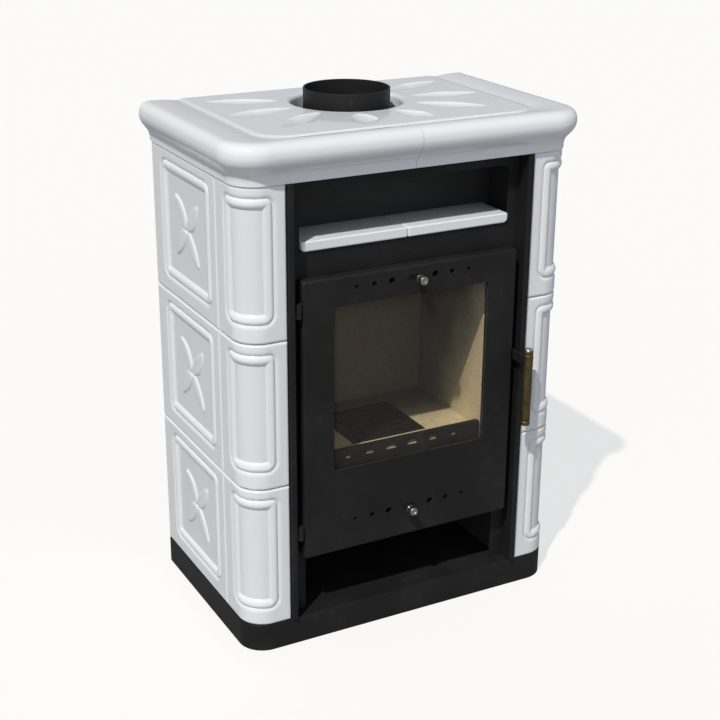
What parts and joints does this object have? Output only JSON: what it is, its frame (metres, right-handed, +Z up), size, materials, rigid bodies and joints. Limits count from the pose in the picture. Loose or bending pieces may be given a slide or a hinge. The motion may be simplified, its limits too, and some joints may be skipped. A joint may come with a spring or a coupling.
{
  "type": "tiled stove",
  "caption": "Free-standing wood stove clad in glazed relief tiles, with a glazed door on hinges, latch handle, sliding air controls, warming niche, wood niche and top flue collar.",
  "frame": {"origin": "on the floor, at the middle of the plinth's underside", "axes": "+Z up, the door faces -Y, +X to the right as seen from the front"},
  "size_m": [0.6536, 0.4145, 0.908],
  "materials": {
    "glaze": "glossy white glaze with a cool grey tint",
    "black_steel": "satin black heat-proof paint",
    "fire_board": "pale pressed fireproof board",
    "cast_iron": "rough dark casting",
    "fibre_rope": "grey glass-fibre rope and tape",
    "stove_glass": "clear heat-proof glass with an amber tint",
    "brushed_steel": "turned and brushed",
    "aged_brass": "dark antique brass"
  },
  "bodies": {
    "body": {"side_tile_1_left": "glaze", "corner_tile_1_left": "glaze", "side_tile_1_right": "glaze", "corner_tile_1_right": "glaze", "side_tile_2_left": "glaze", "corner_tile_2_left": "glaze", "side_tile_2_right": "glaze", "corner_tile_2_right": "glaze", "side_tile_3_left": "glaze", "corner_tile_3_left": "glaze", "side_tile_3_right": "glaze", "corner_tile_3_right": "glaze", "top_slab_left": "glaze", "warming_shelf_left": "glaze", "cheek_left": "black_steel", "front_rail_left": "black_steel", "rear_rail_left": "black_steel", "lining_left": "fire_board", "top_slab_right": "glaze", "warming_shelf_right": "glaze", "cheek_right": "black_steel", "front_rail_right": "black_steel", "rear_rail_right": "black_steel", "lining_right": "fire_board", "plinth": "black_steel", "base_plate": "black_steel", "front_panel": "black_steel", "rear_shield": "black_steel", "jacket": "black_steel", "niche_liner": "black_steel", "firebox": "black_steel", "ash_pan": "black_steel", "flue_collar": "black_steel", "upper_hinge_bracket": "black_steel", "lower_hinge_bracket": "black_steel", "latch_catch": "black_steel", "lining_back": "fire_board", "lining_floor": "fire_board", "baffle": "fire_board", "grate": "cast_iron", "log_guard": "cast_iron"},
    "door": {"door_pan": "black_steel", "glass_gasket": "fibre_rope", "window_glass": "stove_glass", "glass_retainer": "black_steel", "seal_channel": "black_steel", "door_rope": "fibre_rope", "upper_air_guide": "black_steel", "lower_air_guide": "black_steel", "upper_hinge_leaf": "black_steel", "lower_hinge_leaf": "black_steel"},
    "latch": {"latch_hook": "black_steel", "latch_lever": "black_steel", "brass_grip": "aged_brass", "grip_cap": "brushed_steel"},
    "upper_air": {"upper_air_plate": "black_steel", "upper_air_knob": "brushed_steel"},
    "lower_air": {"lower_air_plate": "black_steel", "lower_air_knob": "brushed_steel"}
  },
  "joints": [
    {"name": "door_hinge", "type": "hinge", "parent": "body", "child": "door", "pos_m": [-0.2095, -0.189, 0.41], "axis": [0, 0, -1], "range_deg": [0, 110]},
    {"name": "latch_turn", "type": "hinge", "parent": "door", "child": "latch", "pos_m": [0.2, -0.178, 0.462], "axis": [-1, 0, 0], "range_deg": [0, 30]},
    {"name": "upper_air_slide", "type": "slide", "parent": "door", "child": "upper_air", "axis": [1, 0, 0], "range_m": [-0.013, 0]},
    {"name": "lower_air_slide", "type": "slide", "parent": "door", "child": "lower_air", "axis": [1, 0, 0], "range_m": [0, 0.013]}
  ]
}
